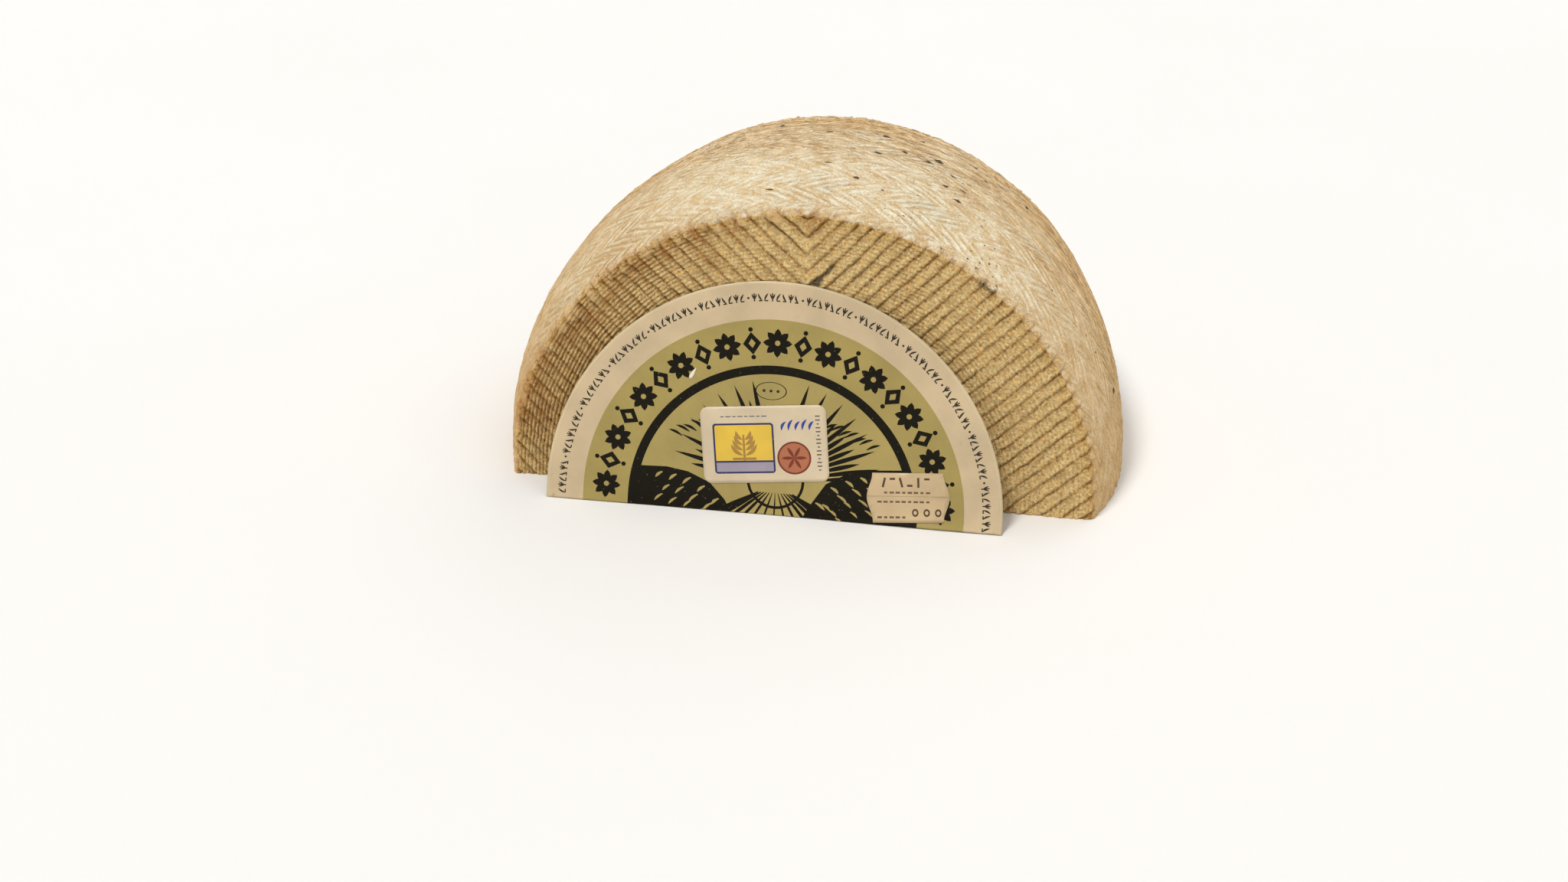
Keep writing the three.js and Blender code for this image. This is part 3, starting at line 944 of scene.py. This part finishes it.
class Shader:
    """One material and short calls for its nodes. Each call gives the new node's output."""

    def __init__(self, name, settings):
        self.material = bpy.data.materials.new(name)
        self.material.use_nodes = True
        self.tree = self.material.node_tree
        self.surface = self.tree.nodes["Principled BSDF"]
        for socket, value in settings.items():
            self.surface.inputs[socket].default_value = value
        self.place = self.node("TexCoord", 3)

    def feed(self, socket, value):
        if isinstance(value, Wire):
            self.tree.links.new(value.socket, socket)
        elif isinstance(value, tuple) and len(value) == 3 and socket.type == "RGBA":
            socket.default_value = linear(value)
        else:
            socket.default_value = value

    def node(self, kind, output=0, inputs=None, **options):
        node = self.tree.nodes.new("ShaderNode" + kind)
        for key, value in options.items():
            setattr(node, key, value)
        for key, value in (inputs or {}).items():
            self.feed(node.inputs[key], value)
        return Wire(self, node.outputs[output])

    def value(self, name):
        return self.node("Attribute", 2, attribute_name=name)

    def math(self, operation, a, b=0.0):
        return self.node("Math", 0, {0: a, 1: b}, operation=operation)

    def mix(self, share, a, b):
        return self.node("Mix", 2, {0: share, 6: a, 7: b}, data_type="RGBA")

    def noise(self, size, detail=2.0, stretch=(1, 1, 1), roughness=0.55):
        """Noise from 0 to 1 in lumps of about size millimetres."""
        place = self.node("VectorMath", 0, {0: self.place, 1: stretch}, operation="MULTIPLY")
        inputs = {"Vector": place, "Scale": 1 / (size * MM), "Detail": detail, "Roughness": roughness}
        return self.node("TexNoise", 0, inputs)

    def noise_at(self, *place):
        """Noise from 0 to 1 at a place given as three numbers, in lumps one unit long each way."""
        place = self.node("CombineXYZ", 0, dict(enumerate(place)))
        return self.node("TexNoise", 0, {"Vector": place, "Scale": 1.0, "Detail": 3.0, "Roughness": 0.65})

    def cells(self, size, **inputs):
        """Distance from the nearest of many scattered points about size millimetres apart."""
        return self.node("TexVoronoi", 0, {"Vector": self.place, "Scale": 1 / (size * MM), **inputs})

    def remap(self, value, low, high, to_low=0.0, to_high=1.0):
        inputs = {"Value": value, "From Min": low, "From Max": high, "To Min": to_low, "To Max": to_high}
        return self.node("MapRange", 0, inputs)

    def swing(self, value, amount, half=0.2):
        """Noise made to run from -amount to amount; half is how far from 0.5 it reaches them."""
        return self.remap(value, 0.5 - half, 0.5 + half, -amount, amount)

    def humps(self, phase, power):
        """0 at whole numbers and 1 half way between, as rounded humps."""
        return self.math("POWER", self.math("ABSOLUTE", self.math("SINE", phase * math.pi)), power)

    def bump(self, height, distance, strength=1.0, **inputs):
        inputs |= {"Height": height, "Distance": distance * MM, "Strength": strength}
        return self.node("Bump", 0, inputs)

    def finish(self, **sockets):
        for key, value in sockets.items():
            self.feed(self.surface.inputs[key.replace("_", " ")], value)
        return self.material


def plait(s, grain):
    """The side: fibres over straw and tan, with painted highlight on the raised lines and painted shade in
    the channels. Gives its colour and height.
    """
    row, arc, sharp = s.value("row"), s.value("arc"), s.value("sharp")
    number = s.math("FLOOR", row)
    lean = 1.0 - s.math("FLOORED_MODULO", number, 2.0) * 2.0
    depth = row * ROW_PITCH + FIRST_ROW
    cos, sin = math.cos(STRAND_TURN), math.sin(STRAND_TURN)
    across = depth * cos + lean * arc * sin
    along = arc * cos - lean * depth * sin
    phase = across / STRAND_PITCH + number * ROW_SHIFT
    phase = phase + s.swing(s.noise(2.2, 3.0), 0.1)
    line = 1.0 - s.humps(phase, 0.6)
    strand = s.node("CombineXYZ", 0, {0: s.math("ROUND", phase), 1: number})
    picked = s.node("TexWhiteNoise", 0, {"Vector": strand}, noise_dimensions="2D")
    line = line * s.remap(picked, 0.0, 1.0, 0.25, 1.35)
    channel = s.humps(phase, 5.0)
    fibre = s.noise_at(along / FIBRE_LENGTH, across / FIBRE_WIDTH, number)
    worn = sharp * s.remap(s.noise(5.0, 2.0), 0.35, 0.6, 0.35, 1.0)
    # Painted light: the raised lines are painted lighter and the channels darker, following the relief as
    # painted highlight and painted shade
    painted_light_and_tone = (line * 1.3 - channel * 0.5) * worn
    painted_light_and_tone = painted_light_and_tone + s.swing(fibre, 0.5)
    painted_light_and_tone = painted_light_and_tone + s.swing(grain, 0.7, 0.15)
    bands = s.noise_at(along / 7.0, across / 1.6, number + 50.0)
    painted_light_and_tone = painted_light_and_tone + s.swing(bands, 0.5)
    painted_light_and_tone = painted_light_and_tone + s.swing(s.noise(5.0, 3.0), 0.4, 0.15)
    streaks = s.noise_at(arc / 12.0, depth / 1.3, 0.0)
    streaky = s.remap(depth, 20.0, 60.0, 0.15, 1.0)
    painted_light_and_tone = painted_light_and_tone + s.swing(streaks, 0.9) * streaky
    broad = s.noise_at(arc / 25.0, depth / 4.0, 3.0)
    painted_light_and_tone = painted_light_and_tone + s.swing(broad, 0.8) * streaky
    painted_light_and_tone = s.remap(painted_light_and_tone, -1.0, 0.95)

    low_down = s.remap(s.math("ABSOLUTE", arc - PALE_ARC), 35.0, 145.0, 0.0, 0.85)
    warm = s.remap(depth, 20.0, 80.0, 0.0, 0.85) + low_down
    warm = warm + s.swing(streaks, 0.35)
    warm = warm + s.swing(s.noise(22, 3.0), 0.25, 0.15)
    warm = s.remap(warm, 0.0, 1.0)
    colour = s.mix(warm, s.mix(painted_light_and_tone, SIDE_LOW, SIDE_HIGH), s.mix(painted_light_and_tone, TAN_LOW, TAN_HIGH))
    dust = s.remap(s.noise(1.1, 4.0, roughness=0.75), 0.56, 0.7)
    colour = s.mix(dust * s.remap(s.noise(8, 3.0), 0.4, 0.6, 0.15, 0.8), colour, SIDE_PIT)
    colour = s.mix(s.remap(s.noise(2.0, 4.0), 0.5, 0.68, 0.0, 0.45), colour, SIDE_GOLD)
    colour = s.mix(low_down * 0.5, colour, SIDE_STRAW)
    cracks = s.remap(s.noise_at(arc / 7.0, depth / 0.8, 7.0), 0.56, 0.65) * streaky
    colour = s.mix(cracks * 0.75, colour, SIDE_BROWN)
    height = (line - channel) * 0.55 * worn - cracks * 0.4
    return colour, height + fibre * 0.4


def pressed_ridges(s, grain, crumbs):
    """A flat face: golden ridges with small ribs across them, grains and pits, with painted highlight on
    the crests and crumbs and painted shade in the narrow grooves and rib notches.
    """
    ridge = s.value("ridge") + s.swing(s.noise(1.5, 3.0), 0.04)
    rib = s.value("rib") + s.swing(s.noise(1.6, 3.0), 0.12)
    part = s.math("FRACT", ridge)
    # crest paints light: brightest just past each groove, darker towards the next groove and darkest in it,
    # as painted highlight and painted shade; it also shapes the bump
    crest = s.remap(part, 0.0, RIDGE_RISE + 0.08) * s.remap(part, 0.35, 1.0, 1.0, 0.55)
    crest = crest * s.remap(part, 0.9, 1.0, 1.0, 0.4)
    notch = (1.0 - s.humps(rib, 0.6)) * s.value("ribbed")
    # Painted light and shade: crests and crumb middles lighter, rib notches and crumb edges darker; grain
    # adds the face's own tone
    painted_light_and_tone = crest * 1.15 - notch * 0.9
    painted_light_and_tone = painted_light_and_tone + s.swing(grain, 0.45, 0.15)
    painted_light_and_tone = painted_light_and_tone + s.remap(crumbs, 0.2, 0.8, -0.4, 0.35)
    colour = s.mix(s.remap(painted_light_and_tone, -0.45, 1.28), FACE_LOW, FACE_HIGH)
    colour = s.mix(s.remap(s.noise(1.4, 3.0), 0.5, 0.66, 0.0, 0.5), colour, FACE_GOLD)
    colour = s.mix(s.remap(s.noise(2.6, 4.0), 0.5, 0.66, 0.0, 0.45), colour, FACE_GREY)
    pits = s.remap(s.noise(1.0, 4.0, roughness=0.75), 0.54, 0.66, 0.0, 0.65)
    colour = s.mix(pits, colour, FACE_PIT)
    height = crest * 0.25 - notch * 0.4 + crumbs * 0.3
    return colour, height + grain * 0.5, crest


def rind_material():
    """Dry straw-coloured rind, with a golden rim, stains, waxy spots and mould, and painted highlight and
    painted shade that follow its relief.
    """
    s = Shader("cheese_rind", {"Specular IOR Level": 0.25})
    face, rim = s.value("face"), s.value("rim")
    grain = s.noise(0.7, 4.0, roughness=0.75)
    crumbs = s.remap(s.cells(1.1, Detail=1.0, Roughness=0.5), 1.1, 0.25)  # 1 in the middle of each crumb
    side, side_height = plait(s, grain)
    flat, face_height, crest = pressed_ridges(s, grain, crumbs)
    colour = s.mix(face, side, flat)

    hollow = 1.0 - crest
    # The rim's golden patches are its own colour; within them, more weight in the hollows gives more of the
    # brown painted shade there
    golden = rim * s.remap(s.noise(1.5, 4.0, roughness=0.7), 0.42, 0.58, 0.3, 1.0)
    golden = golden * s.remap(hollow, 0.1, 0.6, 0.55, 1.0)
    spread = s.math("MAXIMUM", s.remap(face, 0.0, 0.6), s.remap(s.noise(4.0, 3.0), 0.4, 0.56, 0.2, 1.0))
    golden = s.remap(golden * spread, 0.0, 0.75)
    # Painted light on the rim: gold on crests and crumb middles, brown painted shade at crumb edges and in
    # the hollows; grain adds its own tone
    crumb_light_shade_and_grain = s.remap(crumbs, 0.0, 1.0, -0.35, 0.4) + s.remap(grain, 0.35, 0.65, -0.1, 0.4)
    crumb_light_shade_and_grain = crumb_light_shade_and_grain + s.remap(crest, 0.3, 0.9, 0.0, 0.5)
    colour = s.mix(golden, colour, s.mix(crumb_light_shade_and_grain, RIM_BROWN_AND_SHADE, RIM_GOLD))
    stain = s.value("stain") * s.remap(s.noise(1.6, 4.0, roughness=0.7), 0.4, 0.58, 0.25, 1.0)
    stain = stain * s.remap(hollow, 0.0, 0.6, 0.7, 1.0)
    colour = s.mix(s.remap(stain, 0.0, 0.9, 0.0, 0.9), colour, STAIN_BROWN)
    wax = s.value("wax") + s.swing(s.noise(2.0, 3.0), 0.3)
    wax = s.remap(wax, 0.3, 0.75, 0.0, 0.75)
    colour = s.mix(wax, colour, s.mix(s.noise(1.2, 3.0), WAX_PALE, WAX_DEEP))
    mould = s.value("mould") * s.remap(s.noise(0.8, 3.0), 0.35, 0.6, 0.4, 1.0)
    colour = s.mix(s.remap(mould, 0.05, 0.8, 0.0, 0.85), colour, MOULD_GREY)

    height = s.node("Mix", 0, {0: face, 2: side_height, 3: face_height}, data_type="FLOAT")
    height = height + grain * 0.55
    height = height + crumbs * rim * 0.35
    roughness = s.remap(grain, 0.3, 0.7, 0.78, 0.95)
    return s.finish(Base_Color=colour, Roughness=roughness, Normal=s.bump(height, 1.0, 0.9))


def paste_material():
    """The pale inside on the cut face, darker next to the rind, with flecks."""
    settings = {"Specular IOR Level": 0.4, "Subsurface Weight": 0.15, "Subsurface Scale": 0.003}
    s = Shader("cheese_paste", settings)
    inside = s.value("inside")
    cloud = s.noise(9, 3.0)
    colour = s.mix(s.remap(inside, 0.8, 9), PASTE_DEEP, PASTE_PALE)
    colour = s.mix(s.remap(cloud, 0.4, 0.7, 0.0, 0.4), colour, PASTE_CLOUD)
    colour = s.mix(s.remap(inside, 1.4, 0.3), colour, PASTE_EDGE)
    colour = s.mix(s.remap(s.cells(3.1), 0.16, 0.1) * 0.25, colour, PASTE_FLECK)
    bump = s.bump(s.noise(0.6, 3.0), 0.08, 0.6)
    bump = s.bump(s.noise(5.0, 2.0, (0.25, 1, 1)), 0.15, 0.5, Normal=bump)
    return s.finish(Base_Color=colour, Roughness=s.remap(cloud, 0.3, 0.7, 0.42, 0.6), Normal=bump)


def speck_material():
    s = Shader("mould", {"Specular IOR Level": 0.15, "Roughness": 0.95})
    fuzz = s.noise(0.3, 2.0)
    colour = s.mix(s.remap(fuzz, 0.35, 0.65), SPECK_DARK, SPECK_PALE)
    outer = s.value("share") + s.swing(s.noise(0.5, 3.0), 0.35)
    colour = s.mix(s.remap(outer, 0.7, 1.05), colour, SPECK_EDGE)
    return s.finish(Base_Color=colour, Normal=s.bump(fuzz, 0.1))


def drop_material():
    s = Shader("dried_milk", {"Specular IOR Level": 0.5, "Roughness": 0.3})
    return s.finish(Base_Color=s.mix(s.noise(1.2), DROP_LOW, DROP_HIGH))


def paper_material(name, colour, gloss):
    """Printed paper under satin film: a faint cloud in the ink, tiny pale specks, soft waves."""
    s = Shader(name, {"Specular IOR Level": 0.12 + 0.36 * gloss})
    darker = tuple(round(c * 0.93) for c in colour)
    shade = s.mix(s.remap(s.noise(16, 3.0), 0.35, 0.65), darker, colour)
    shade = s.mix(s.remap(s.noise(0.5, 1.0), 0.76, 0.8, 0.0, 0.4), shade, PAPER_SPECK)
    bump = s.bump(s.noise(7, 2.0), 0.12, 0.35)
    return s.finish(Base_Color=shade, Roughness=s.remap(s.noise(5, 2.0), 0.3, 0.7, 0.26, 0.4), Normal=bump)


def inks(sheet, colours):
    """One material for each colour of a sheet, in their order."""
    glosses = [INK_GLOSS.get(name, 0.5) for name in colours]
    return [paper_material(f"{sheet}_{name}", colours[name], g) for name, g in zip(colours, glosses)]


# --- Studio ----------------------------------------------------------------------------------

FLOOR_FLAT, FLOOR_REACH, WALL_HEIGHT = 1.6, 2.6, 1.2  # metres
FLOOR_SIDES, WALL_STEPS = 96, 12


def add_floor():
    """A pale floor whose edge curves up all round, so that every view has a plain backdrop."""
    rings = [(0.2, 0.0), (0.6, 0.0), (FLOOR_FLAT, 0.0)]
    for k in range(1, WALL_STEPS + 1):
        turn = k / WALL_STEPS * math.pi / 2
        radius = FLOOR_FLAT + (FLOOR_REACH - FLOOR_FLAT) * math.sin(turn)
        rings.append((radius, WALL_HEIGHT * (1 - math.cos(turn))))
    turn = np.arange(FLOOR_SIDES) / FLOOR_SIDES * 2 * math.pi
    points = np.array([(0, 0, 0)] + [(r * math.cos(t), r * math.sin(t), z) for r, z in rings for t in turn])
    faces = dome_faces(0, len(rings), FLOOR_SIDES)[:-1]  # open at the top of the wall
    s = Shader("studio_floor", {"Roughness": 0.9, "Specular IOR Level": 0.1})
    material = s.finish(Base_Color=s.mix(s.noise(300, 2.0), FLOOR_LOW, FLOOR_HIGH))
    add_mesh("floor", points / MM, faces, [material])


LIGHTS = [  # name, direction it comes from, spread in degrees, strength, colour
    ("key", (-0.32, -0.52, 1.0), 14, 1.85, (1.0, 0.98, 0.95)),
    ("top", (0.3, 0.1, 1.0), 70, 0.55, (1.0, 1.0, 1.0)),
    ("fill", (0.9, -0.75, 0.5), 60, 0.4, (1.0, 1.0, 1.0)),
    ("back", (0.4, 1.0, 0.6), 50, 0.55, (1.0, 0.97, 0.93)),
]
SKY = 0.3


def add_lights():
    for name, source, spread, strength, colour in LIGHTS:
        data = bpy.data.lights.new(name, "SUN")
        data.angle = math.radians(spread)
        data.energy = strength
        data.color = colour
        light = bpy.data.objects.new(name, data)
        light.rotation_euler = Vector(source).to_track_quat("Z", "Y").to_euler()
        light.location = source
        bpy.context.scene.collection.objects.link(light)
    world = bpy.data.worlds.new("studio")
    world.use_nodes = True
    world.node_tree.nodes["Background"].inputs["Color"].default_value = (1, 1, 1, 1)
    world.node_tree.nodes["Background"].inputs["Strength"].default_value = SKY
    bpy.context.scene.world = world


add_camera()
add_cheese()
add_specks()
add_label()
add_quality_sticker()
add_date_sticker()
add_drip()
add_floor()
add_lights()
bpy.context.scene.view_settings.view_transform = "Standard"
